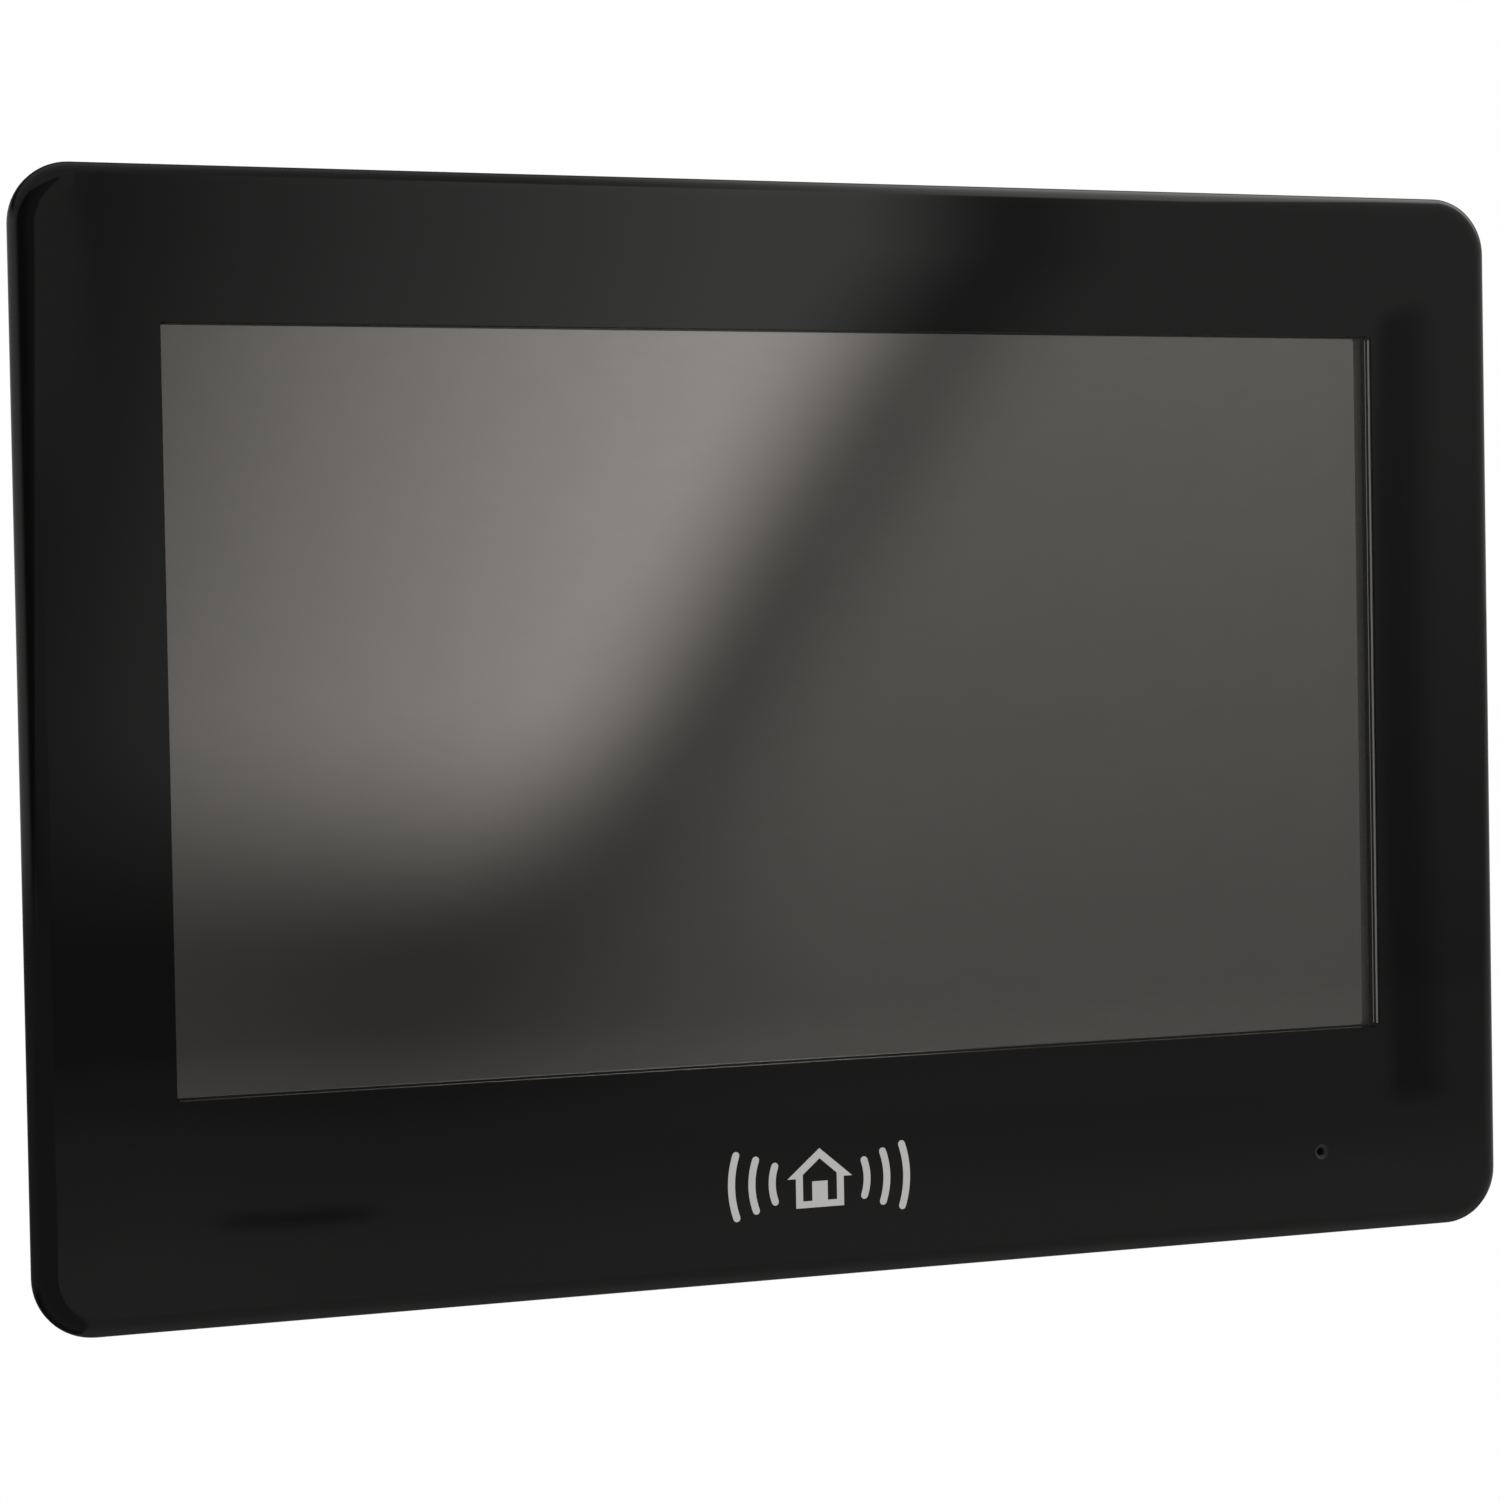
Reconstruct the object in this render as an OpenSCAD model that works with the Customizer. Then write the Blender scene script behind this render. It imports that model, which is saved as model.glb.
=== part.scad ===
// Wall-hung 7-inch video intercom monitor, lifted off a steel wall bracket.
// X runs to the viewer's right, Y into the wall and Z up. The origin is on the
// wall, at the centre of the bracket's back face. Sizes are in millimetres.
// Sub-parts are drawn in a plan frame (x right, y up, z out of the wall), which
// wall_frame() stands up, so a plan z is a distance from the wall.

/* [Front] */
// Width of the glossy front
front_w = 189; // [185:1:195]
// Height of the glossy front
front_h = 129.8; // [128:0.1:134]
// Radius of the front's corners, seen from the front
front_corner = 7; // [6:0.5:9]
// Radius of the round along the front edge
front_edge = 2.6; // [2:0.1:3]
// Thickness of the front wall around the window
front_wall = 1.5; // [1.4:0.1:1.6]
// How far the rim of the front cover reaches back from the front face
rim_depth = 7.5; // [7:0.1:8]
// How far the tapered rim steps in towards the back
rim_inset = 3.5; // [3:0.1:4]

/* [Window] */
// Width of the clear window
window_w = 155.0; // [154:0.1:157]
// Height of the clear window
window_h = 86.3; // [86:0.1:87.5]
// How far the window's centre sits right of the centre of the front
window_right = -0.75; // [-1.5:0.05:0]
// Height of the window's centre above the centre of the front
window_up = 4.1; // [3:0.1:4.5]
// Depth of the display's face behind the front face
display_recess = 2.1; // [2.0:0.1:2.4]

/* [Microphone] */
// Distance of the microphone hole right of the centre
mic_x = 68.1; // [60:0.1:75]
// Height of the microphone hole, below the centre
mic_y = -54.3; // [-57:0.1:-53]
// Diameter of the microphone hole
mic_hole_d = 1.0; // [0.8:0.1:1.4]

/* [Housing] */
// Distance from the wall to the front face
total_depth = 26.9; // [26.5:0.1:27.5]
// Gap between the wall and the back of the rear cover
wall_gap = 1.6; // [1.5:0.1:1.8]
// Wall thickness of the rear cover
shell = 2.0; // [1.8:0.1:2.2]
// Width of the rear cover's flat back
back_w = 156; // [154:1:160]
// Height of the rear cover's flat back
back_h = 104; // [102:1:108]

/* [Bracket] */
// Width of the wall bracket
bracket_w = 116; // [112:1:118]
// Height of the wall bracket
bracket_h = 92; // [90:1:92]
// Thickness of the bracket's steel
steel = 1.2; // [1:0.1:1.4]
// Height that the monitor is lifted by to come off the hooks
lift = 8; // [7:0.5:8]
// Spacing of the slots for a square wall box
box_pitch = 60.3; // [60:0.1:60.5]
// Spacing of the holes for an upright wall box
gang_pitch = 83.3; // [83:0.1:83.6]
// Width of the four-screw pattern
screw_pitch_x = 104; // [100:1:104]
// Height of the four-screw pattern
screw_pitch_y = 80; // [78:1:80]

/* [Connectors] */
// Number of ways in the terminal block
ways = 8; // [6:1:8]
// Spacing of the ways
way_pitch = 3.5; // [3.5:0.01:3.81]
// Travel of the reset button
reset_travel = 0.3; // [0.25:0.05:0.3]

/* [Hidden] */
$fn = 48;
eps = 0.01;
gap = 0.3;

// Layers, as distances from the wall
front_z = total_depth;
front_back_z = front_z - front_wall;
rim_z = front_z - rim_depth;
display_z = front_z - display_recess;
lcd_t = 2.0;
backlight_t = 3.2;
tray_floor_t = 0.5;
tray_back_z = display_z - lcd_t - backlight_t - tray_floor_t;
plate_t = 1.0;
plate_z = tray_back_z - plate_t;
board_t = 1.6;
board_front_z = plate_z - 2.0;
board_z = board_front_z - board_t;
recess_z = wall_gap + 1.6;
recess_in_z = recess_z + shell;
pocket_z = board_z + 1.0;
pocket_in_z = pocket_z + shell;

// Front cover and the rim that the rear cover meets
rim_w = front_w - 2 * rim_inset;
rim_h = front_h - 2 * rim_inset;
rim_corner = front_corner - rim_inset / 2;
rim_wall = 2.0;
boss_x = 84.6;
boss_y = 55.2;
boss_r = 2.6;

// Display stack
flange = 2.9;
flange_t = 0.3;
lcd_w = window_w + 1.3;
lcd_h = window_h + 3.1;
tray_w = lcd_w + 5;
tray_h = lcd_h + 6.6;
tray_lip_z = display_z - 0.2;

// Support plate and the screws into the front cover
plate_w = 174;
plate_h = 115.6;
cover_screw_x = 72;
cover_screw_y = 43.5;
bush_r = 2.5;
bush_h = 2.2;

// Rear cover: straight side walls, then a slope to the flat back
slope_z = plate_z - 0.4;
back_corner = 8;
recess_w = bracket_w + 4;
recess_h = bracket_h + 2;
pocket_w = 90;
pocket_top = -14;
pocket_bottom = -44;
well_r = 3.5;
well_floor_z = 13.5;
notch_w = 16;
notch_z = 6.2;

// Hooks on the bracket and the slots that drop over them
hook_x = 52;
hook_w = 8;
hook_ys = [24, -22];
tongue_h = lift - 1;
tongue_z = recess_in_z + gap;
slot_drop = lift + steel + 0.6;
bracket_window = [48, 52];
bracket_window_y = -10;

// Main board and what stands on it
board_w = 120;
board_low = -11;
board_high = 50;
socket_face = pocket_top + shell + gap;
jack_x = -32;
jack_size = [16, 16.6, 11.3];
jack_z = recess_in_z + gap;
jack_hole = [11.8, 12.5, 6.8];
jack_hole_z = jack_z + 1.6;
terminal_x = 20;
plug_w = ways * way_pitch + 2.4;
plug_t = 5.6;
plug_z = board_z - 1.3 - plug_t;
plug_in = 6.0;
plug_out = 9.5;
header_w = plug_w + 3;
header_len = 9;
header_wall = 1.2;
pin_len = 4.8;
card_x = -7;
card_size = [11, 15, 0.8];
card_z = board_z - 1.4;
reset_x = -18.5;
reset_z = board_z - 1.6;
reset_r = 0.8;

// Speaker, behind the slots of the rear cover
speaker_x = 69.2;
speaker_y = -22;
speaker_w = 13;
speaker_h = 32;
speaker_z = wall_gap + shell + 0.8;
speaker_t = 4.6;
magnet_t = 3.0;

// Microphone capsule
mic_r = 2.3;
mic_t = 2.4;
boot_r = 3.6;
boot_t = 3.4;

module wall_frame() rotate([90, 0, 0]) children();

module plan(w, h, r) {
    square([w - 2 * r, h], center = true);
    square([w, h - 2 * r], center = true);
    for (sx = [-1, 1], sy = [-1, 1])
        translate([sx * (w / 2 - r), sy * (h / 2 - r)]) circle(r);
}

module slab(w, h, r, z0, z1) {
    translate([0, 0, z0]) linear_extrude(z1 - z0) plan(w, h, r);
}

module block(w, h, z0, z1) {
    translate([-w / 2, -h / 2, z0]) cube([w, h, z1 - z0]);
}

module at_corners(x, y) {
    for (sx = [-1, 1], sy = [-1, 1]) translate([sx * x, sy * y, 0]) children();
}

// A ring of wall between two rounded outlines
module ring(w, h, r, t, z0, z1) {
    difference() {
        slab(w, h, r, z0, z1);
        slab(w - 2 * t, h - 2 * t, max(r - t, 0.5), z0 - 1, z1 + 1);
    }
}

// ---- Wall bracket -------------------------------------------------------

// A tongue stands up behind the cover's wall, on a web through its slot.
module hook() {
    translate([-hook_w / 2, -steel, eps]) cube([hook_w, steel, tongue_z + steel - eps]);
    translate([-hook_w / 2, -steel, tongue_z]) cube([hook_w, tongue_h + steel, steel]);
}

module wall_slot(length, r) {
    for (s = [-1, 1]) translate([s * (length / 2 - r), 0, -1]) cylinder(r = r, h = steel + 2);
    translate([-(length / 2 - r), -r, -1]) cube([length - 2 * r, 2 * r, steel + 2]);
}

module wall_bracket() {
    color([0.55, 0.56, 0.57]) wall_frame() {
        difference() {
            slab(bracket_w, bracket_h, 4, 0, steel);
            translate([0, bracket_window_y, 0])
                slab(bracket_window[0], bracket_window[1], 3, -1, steel + 1);
            for (s = [-1, 1]) {
                translate([s * box_pitch / 2, 0, 0]) wall_slot(7, 2.1);
                translate([0, s * gang_pitch / 2, -1]) cylinder(r = 2.1, h = steel + 2);
            }
            at_corners(screw_pitch_x / 2, screw_pitch_y / 2)
                translate([0, 0, -1]) cylinder(r = 2.2, h = steel + 2);
            for (sx = [-1, 1], y = hook_ys)
                translate([sx * hook_x - hook_w / 2 - 0.6, y, -1])
                    cube([hook_w + 1.2, tongue_h + 0.6, steel + 2]);
        }
        for (sx = [-1, 1], y = hook_ys) translate([sx * hook_x, y, 0]) hook();
    }
}

// ---- Front cover and window --------------------------------------------

module front_outer() {
    hull() {
        at_corners(front_w / 2 - front_corner, front_h / 2 - front_corner)
            translate([0, 0, front_z - front_edge])
                rotate_extrude($fn = 48)
                    translate([front_corner - front_edge, 0]) circle(front_edge, $fn = 32);
        at_corners(rim_w / 2 - rim_corner, rim_h / 2 - rim_corner)
            translate([0, 0, rim_z]) cylinder(r = rim_corner, h = 0.2, $fn = 48);
    }
}

module front_cover() {
    color([0.02, 0.02, 0.022]) wall_frame() difference() {
        union() {
            difference() {
                front_outer();
                slab(rim_w - 2 * rim_wall, rim_h - 2 * rim_wall, rim_corner - rim_wall,
                    rim_z - 1, front_back_z);
            }
            at_corners(boss_x, boss_y)
                translate([0, 0, plate_z + plate_t])
                    cylinder(r = boss_r, h = front_back_z - plate_z - plate_t + 0.2);
        }
        translate([window_right, window_up, 0]) block(window_w, window_h, front_back_z - 1, front_z + 1);
        at_corners(boss_x, boss_y)
            translate([0, 0, plate_z - 1]) cylinder(r = 0.95, h = 6.3);
        translate([mic_x, mic_y, front_back_z - 1]) cylinder(d = mic_hole_d, h = front_wall + 2);
        translate([mic_x, mic_y, front_z - 0.3])
            cylinder(d1 = mic_hole_d, d2 = mic_hole_d + 0.9, h = 0.3 + eps);
    }
}

module window_pane() {
    color([0.75, 0.78, 0.8, 0.35]) wall_frame() translate([window_right, window_up, 0]) {
        block(window_w, window_h, front_back_z - flange_t, front_z);
        block(window_w + 2 * flange, window_h + 2 * flange,
            front_back_z - flange_t, front_back_z);
    }
}

// ---- Display stack ------------------------------------------------------

module display_gasket() {
    color([0.12, 0.12, 0.12]) wall_frame() translate([window_right, window_up, 0]) difference() {
        block(lcd_w + 3.6, lcd_h + 1.6, display_z, front_back_z - flange_t);
        block(window_w - 0.4, window_h - 0.2, display_z - 1, front_z);
    }
}

module lcd_panel() {
    color([0.16, 0.16, 0.15]) wall_frame() translate([window_right, window_up, 0])
        block(lcd_w, lcd_h, display_z - lcd_t, display_z);
}

module backlight() {
    color([0.9, 0.9, 0.88]) wall_frame() translate([window_right, window_up, 0])
        block(lcd_w, lcd_h, tray_back_z + tray_floor_t, display_z - lcd_t);
}

module lcd_tray() {
    color([0.68, 0.69, 0.7]) wall_frame() translate([window_right, window_up, 0]) difference() {
        block(tray_w, tray_h, tray_back_z, tray_lip_z);
        block(lcd_w + 0.1, lcd_h + 0.1, tray_back_z + tray_floor_t, tray_lip_z + 1);
    }
}

// A flat ribbon that leaves the tray above the board and folds down onto it
module lcd_flex() {
    ribbon = 0.3;
    y_run = board_high + 0.8;
    color([0.75, 0.45, 0.12]) wall_frame() translate([-20, 0, 0]) {
        translate([-12, y_run - 4, tray_back_z - ribbon]) cube([24, 4.3, ribbon]);
        translate([-12, y_run, board_z - 1.4]) cube([24, ribbon, tray_back_z - board_z + 1.4]);
        translate([-12, y_run - 6, board_z - 1.4]) cube([24, 6.3, ribbon]);
    }
}

// ---- Support plate ------------------------------------------------------

module support_plate() {
    color([0.62, 0.63, 0.64]) wall_frame() difference() {
        union() {
            slab(plate_w, plate_h, 4, plate_z, plate_z + plate_t);
            at_corners(cover_screw_x, cover_screw_y)
                translate([0, 0, plate_z - bush_h]) cylinder(r = bush_r, h = bush_h + eps);
            for (sx = [-1, 1], y = [board_low + 4, board_high - 4])
                translate([sx * (board_w / 2 - 4), y, board_front_z])
                    cylinder(r = 2.4, h = plate_z - board_front_z + eps);
        }
        at_corners(boss_x, boss_y)
            translate([0, 0, plate_z - 1]) cylinder(r = 1.4, h = plate_t + 2);
        at_corners(cover_screw_x, cover_screw_y)
            translate([0, 0, plate_z - bush_h - 1]) cylinder(r = 1.35, h = bush_h + plate_t + 2);
        for (sx = [-1, 1], y = [board_low + 4, board_high - 4])
            translate([sx * (board_w / 2 - 4), y, board_front_z - 1])
                cylinder(r = 1.1, h = plate_z - board_front_z + plate_t + 2);
        translate([-20, board_high - 0.8, 0])
            block(26, 10, plate_z - 1, plate_z + plate_t + 1);
        translate([mic_x, mic_y, 0]) block(14, 12, plate_z - 1, plate_z + plate_t + 1);
        for (x = [-48 : 24 : 48])
            translate([x, -51, plate_z - 1]) cylinder(r = 3, h = plate_t + 2);
    }
}

// A pan-head screw whose shank starts at z = 0 and runs up, head below
module screw(head_r, head_h, shank_r, length, slot = 0.5) {
    difference() {
        union() {
            translate([0, 0, -head_h]) cylinder(r = head_r, h = head_h);
            translate([0, 0, -eps]) cylinder(r = shank_r, h = length + eps);
        }
        for (a = [0, 90]) rotate([0, 0, a]) translate([0, 0, -head_h - eps])
            block(head_r * 1.2, slot, 0, head_h * 0.6);
    }
}

module frame_screws() {
    color([0.5, 0.5, 0.52]) wall_frame() at_corners(boss_x, boss_y)
        translate([0, 0, plate_z]) screw(2.2, 0.9, 0.9, 5);
}

// ---- Rear cover ---------------------------------------------------------

// Straight walls near the rim, then a slope to the flat back, all set in by t
module rear_form(t, back_z) {
    hull() {
        at_corners(rim_w / 2 - rim_corner, rim_h / 2 - rim_corner)
            translate([0, 0, slope_z]) cylinder(r = rim_corner - t, h = rim_z - slope_z);
        at_corners(back_w / 2 - back_corner, back_h / 2 - back_corner)
            translate([0, 0, back_z]) cylinder(r = back_corner - t, h = 0.2);
    }
}

module screw_wells() {
    at_corners(cover_screw_x, cover_screw_y) {
        translate([0, 0, wall_gap + 0.5]) cylinder(r = well_r + 1.4, h = well_floor_z - wall_gap + 1);
        translate([0, 0, well_floor_z]) cylinder(r = bush_r + 1.5, h = plate_z - gap / 3 - well_floor_z);
    }
}

module rear_solid() {
    difference() {
        rear_form(0, wall_gap);
        rear_form(shell, wall_gap + shell);
        translate([0, 0, rim_z - 0.2]) block(rim_w - 2 * shell, rim_h - 12, 0, 1);
    }
    ring(rim_w - 2 * rim_wall - 0.6, rim_h - 2 * rim_wall - 0.6, rim_corner - rim_wall,
        1.2, rim_z - 1.5, rim_z + 1.5);
    ring(rim_w - 2, rim_h - 2, rim_corner - 1, 2.4, rim_z - 1.5, rim_z);
    slab(recess_w + 2 * shell, recess_h + 2 * shell, 5, wall_gap + 0.5, recess_in_z);
    translate([0, (pocket_top + pocket_bottom) / 2, 0])
        block(pocket_w + 2 * shell, pocket_top - pocket_bottom + 2 * shell,
            wall_gap + 1, pocket_in_z);
    screw_wells();
    intersection() {
        rear_form(0, wall_gap);
        translate([0, -56, 0]) block(notch_w + 2 * shell, 22, wall_gap, notch_z + shell);
    }
}

module hook_slots() {
    for (sx = [-1, 1], y = hook_ys)
        translate([sx * hook_x - hook_w / 2 - gap, y + gap - slot_drop, 0])
            cube([hook_w + 2 * gap, slot_drop, recess_in_z + 1]);
}

module speaker_slots() {
    for (i = [-4 : 4])
        translate([speaker_x, speaker_y + i * 3.2, 0]) {
            block(8, 1.6, 0, wall_gap + shell + 1);
            for (s = [-1, 1]) translate([s * 4, 0, 0]) cylinder(r = 0.8, h = wall_gap + shell + 1);
        }
}

module vent_slots() {
    for (side = [-1, 1], i = [1 : 9], s = [-1, 1])
        translate([s * (9 + i * 5), side * 58, 6]) block(2, 12, 0, 6);
}

module connector_holes() {
    y = pocket_top - 1;
    translate([jack_x - jack_hole[0] / 2 - 0.6, y, jack_hole_z - 0.6])
        cube([jack_hole[0] + 1.2, shell + 2, jack_hole[2] + 1]);
    translate([terminal_x - plug_w / 2 - gap, y, plug_z - gap])
        cube([plug_w + 2 * gap, shell + 2, plug_t + 2 * gap]);
    translate([card_x - card_size[0] / 2 - gap, y, card_z - gap])
        cube([card_size[0] + 2 * gap, shell + 2, card_size[2] + 2 * gap]);
    translate([reset_x, y, reset_z]) rotate([-90, 0, 0]) cylinder(r = reset_r + gap, h = shell + 2);
}

module rear_cover() {
    color([0.05, 0.05, 0.052]) wall_frame() difference() {
        rear_solid();
        slab(recess_w, recess_h, 4, 0, recess_z);
        translate([0, (pocket_top + pocket_bottom) / 2, 0])
            block(pocket_w, pocket_top - pocket_bottom, 0, pocket_z);
        translate([0, -54, 0]) block(notch_w, 28, 0, notch_z);
        hook_slots();
        speaker_slots();
        vent_slots();
        connector_holes();
        at_corners(cover_screw_x, cover_screw_y) {
            cylinder(r = well_r, h = well_floor_z);
            cylinder(r = 1.7, h = plate_z);
            translate([0, 0, plate_z - bush_h - gap]) cylinder(r = bush_r + 0.15, h = 4);
        }
    }
}

module cover_screws() {
    color([0.1, 0.1, 0.1]) wall_frame() at_corners(cover_screw_x, cover_screw_y)
        translate([0, 0, well_floor_z]) screw(2.8, 2.2, 1.3, plate_z + plate_t - well_floor_z - 0.3);
}

module rating_label() {
    color([0.85, 0.85, 0.84]) wall_frame() translate([0, 4, 0])
        slab(40, 18, 1.5, recess_z - 0.15, recess_z);
}

// ---- Main board ---------------------------------------------------------

module main_board() {
    mid = (board_low + board_high) / 2;
    color([0.02, 0.22, 0.1]) wall_frame() difference() {
        translate([0, mid, 0]) slab(board_w, board_high - board_low, 2, board_z, board_front_z);
        translate([jack_x - jack_size[0] / 2 - gap, board_low - 1, board_z - 1])
            cube([jack_size[0] + 2 * gap, socket_face + jack_size[1] - board_low + 1 + gap, board_t + 2]);
        for (sx = [-1, 1], y = [board_low + 4, board_high - 4])
            translate([sx * (board_w / 2 - 4), y, board_z - 1]) cylinder(r = 1.3, h = board_t + 2);
    }
}

module board_screws() {
    color([0.6, 0.6, 0.62]) wall_frame()
        for (sx = [-1, 1], y = [board_low + 4, board_high - 4])
            translate([sx * (board_w / 2 - 4), y, board_z]) screw(2.1, 1.2, 1.0, 4);
}

// A chip or a can that stands on the board's back
module on_board(x, y, w, h, t) {
    translate([x, y, 0]) block(w, h, board_z - t, board_z);
}

module main_processor() {
    color([0.05, 0.05, 0.05]) wall_frame() on_board(12, 27, 15, 15, 1.4);
}

module memory_chips() {
    color([0.06, 0.06, 0.06]) wall_frame() {
        on_board(30, 32, 9, 13, 1.1);
        on_board(30, 17, 9, 13, 1.1);
        on_board(12, 11, 12, 8, 1.0);
    }
}

module shield_can() {
    color([0.75, 0.76, 0.77]) wall_frame() on_board(-12, 24, 22, 18, 2.2);
}

module power_transformer() {
    color([0.1, 0.1, 0.11]) wall_frame() on_board(-40.5, 24, 13, 15, 7);
}

module capacitors() {
    color([0.2, 0.2, 0.24]) wall_frame() for (i = [0 : 2])
        translate([-30, 12 + i * 10.5, board_z - 6.6]) cylinder(r = 3.15, h = 6.6);
}

module inductors() {
    color([0.15, 0.15, 0.15]) wall_frame() {
        on_board(44, 12, 7, 7, 3.2);
        on_board(44, 22, 7, 7, 3.2);
    }
}

module flex_connector() {
    color([0.85, 0.83, 0.76]) wall_frame() on_board(-20, 43, 27, 4, 1.1);
}

// ---- Network jack -------------------------------------------------------

module ethernet_jack() {
    color([0.72, 0.73, 0.74]) wall_frame() difference() {
        translate([jack_x - jack_size[0] / 2, socket_face, jack_z]) cube(jack_size);
        translate([jack_x - jack_hole[0] / 2, socket_face - 1, jack_hole_z])
            cube([jack_hole[0], jack_hole[1] + 1, jack_hole[2]]);
        translate([jack_x - 3, socket_face - 1, jack_hole_z - 1.2 + eps])
            cube([6, 8, 1.2]);
    }
}

module jack_contacts() {
    color([0.85, 0.65, 0.2]) wall_frame() for (i = [0 : 7])
        translate([jack_x + (i - 3.5) * 1.02 - 0.2, socket_face + 2.5, jack_hole_z + jack_hole[2] - 1.0])
            cube([0.4, jack_hole[1] - 2.5, 1.0]);
}

// ---- Terminal block -----------------------------------------------------

module terminal_header() {
    color([0.1, 0.35, 0.16]) wall_frame() difference() {
        translate([terminal_x - header_w / 2, socket_face, plug_z - 1.0])
            cube([header_w, header_len, board_z - plug_z + 1.0]);
        translate([terminal_x - plug_w / 2 - gap, socket_face - 1, plug_z - gap])
            cube([plug_w + 2 * gap, header_len - header_wall + 1, plug_t + 2 * gap]);
    }
}

module header_pins() {
    color([0.8, 0.8, 0.8]) wall_frame() for (i = [0 : ways - 1])
        translate([terminal_x + (i - (ways - 1) / 2) * way_pitch - 0.5,
            socket_face + header_len - header_wall - pin_len, plug_z + plug_t / 2 - 0.5])
            cube([1, pin_len, 1]);
}

module terminal_plug() {
    top = socket_face + plug_in;
    color([0.12, 0.42, 0.2]) wall_frame() difference() {
        translate([terminal_x - plug_w / 2, socket_face - plug_out, plug_z])
            cube([plug_w, plug_in + plug_out, plug_t]);
        for (i = [0 : ways - 1]) translate([terminal_x + (i - (ways - 1) / 2) * way_pitch, 0, 0]) {
            translate([-0.8, top - 5.5, plug_z + plug_t / 2 - 0.8]) cube([1.6, 6, 1.6]);
            translate([0, socket_face - plug_out - 1, plug_z + plug_t / 2])
                rotate([-90, 0, 0]) cylinder(r = 1.1, h = 6);
            translate([0, socket_face - plug_out + 5.5, plug_z - 1]) cylinder(r = 1.25, h = 2.2);
        }
    }
}

module clamp_screws() {
    color([0.7, 0.7, 0.7]) wall_frame() for (i = [0 : ways - 1])
        translate([terminal_x + (i - (ways - 1) / 2) * way_pitch, socket_face - plug_out + 5.5,
            plug_z + 0.4])
            difference() {
                cylinder(r = 1.15, h = 0.8);
                translate([0, 0, -eps]) block(1.8, 0.4, 0, 0.4);
            }
}

// ---- Memory card and reset button ---------------------------------------

module card_socket() {
    color([0.78, 0.78, 0.79]) wall_frame() difference() {
        translate([card_x - 7, socket_face, board_z - 2.0]) cube([14, 15, 2.0]);
        translate([card_x - card_size[0] / 2 - gap, socket_face - 1, card_z - gap])
            cube([card_size[0] + 2 * gap, 14.5, card_size[2] + 2 * gap]);
    }
}

module memory_card() {
    color([0.05, 0.05, 0.05]) wall_frame() difference() {
        translate([card_x - card_size[0] / 2, socket_face - 2.2, card_z]) cube(card_size);
        translate([card_x + card_size[0] / 2 - 1.3, socket_face - 2.2 + 8.5, card_z - 1])
            cube([2, 7, 3]);
    }
}

module reset_switch() {
    color([0.3, 0.3, 0.31]) wall_frame() difference() {
        translate([reset_x - 2.6, socket_face + 0.6, board_z - 3.1]) cube([5.2, 4, 3.1]);
        translate([reset_x, socket_face, reset_z])
            rotate([-90, 0, 0]) cylinder(r = reset_r + 0.1, h = 2.4);
    }
}

module reset_button() {
    color([0.85, 0.85, 0.8]) wall_frame()
        translate([reset_x, pocket_top + 0.6, reset_z])
            rotate([-90, 0, 0]) cylinder(r = reset_r, h = socket_face + 2.4 - reset_travel - 0.1 - pocket_top - 0.6);
}

// ---- Speaker and microphone ---------------------------------------------

module speaker_plan(grow) {
    plan(speaker_w + 2 * grow, speaker_h + 2 * grow, 3);
}

module speaker_frame() {
    color([0.15, 0.15, 0.16]) wall_frame() translate([speaker_x, speaker_y, speaker_z]) difference() {
        linear_extrude(speaker_t) speaker_plan(0);
        translate([0, 0, -1]) linear_extrude(speaker_t - 0.8 + 1) speaker_plan(-1.2);
        translate([0, 0, 1]) block(8.2, 20.2, 0, speaker_t);
    }
}

module speaker_cone() {
    color([0.25, 0.24, 0.22]) wall_frame() translate([speaker_x, speaker_y, speaker_z]) {
        translate([0, 0, 0.6]) linear_extrude(0.5) speaker_plan(-1.3);
        translate([0, 0, 1.1 - eps]) slab(6.5, 24, 3, 0, 0.8);
    }
}

module speaker_magnet() {
    color([0.5, 0.5, 0.5]) wall_frame() translate([speaker_x, speaker_y, 0])
        block(8, 20, speaker_z + speaker_t - 2.2, speaker_z + speaker_t + magnet_t);
}

module speaker_gasket() {
    color([0.08, 0.08, 0.08]) wall_frame() translate([speaker_x, speaker_y, 0]) difference() {
        translate([0, 0, wall_gap + shell]) linear_extrude(0.8) speaker_plan(0);
        linear_extrude(20) speaker_plan(-1.4);
    }
}

module microphone() {
    color([0.7, 0.7, 0.7]) wall_frame()
        translate([mic_x, mic_y, front_back_z - boot_t]) cylinder(r = mic_r, h = mic_t);
}

module mic_boot() {
    color([0.07, 0.07, 0.07]) wall_frame() translate([mic_x, mic_y, front_back_z - boot_t])
        difference() {
            cylinder(r = boot_r, h = boot_t);
            translate([0, 0, -1]) cylinder(r = mic_r, h = mic_t + 1);
            cylinder(r = 0.6, h = boot_t + 1);
        }
}

wall_bracket();
front_cover();
window_pane();
display_gasket();
lcd_panel();
backlight();
lcd_tray();
lcd_flex();
support_plate();
frame_screws();
rear_cover();
cover_screws();
rating_label();
main_board();
board_screws();
main_processor();
memory_chips();
shield_can();
power_transformer();
capacitors();
inductors();
flex_connector();
ethernet_jack();
jack_contacts();
terminal_header();
header_pins();
terminal_plug();
clamp_screws();
card_socket();
memory_card();
reset_switch();
reset_button();
speaker_frame();
speaker_cone();
speaker_magnet();
speaker_gasket();
microphone();
mic_boot();
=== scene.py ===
"""The looks of a wall-hung video intercom monitor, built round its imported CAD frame.

Everything is in the frame's axes, in metres: X to the viewer's right, Y into the wall, Z up.
Sizes that are given in millimetres are named so or go through mm().
"""

import math
import random

import bmesh
import bpy
from mathutils import Matrix, Vector


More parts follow.
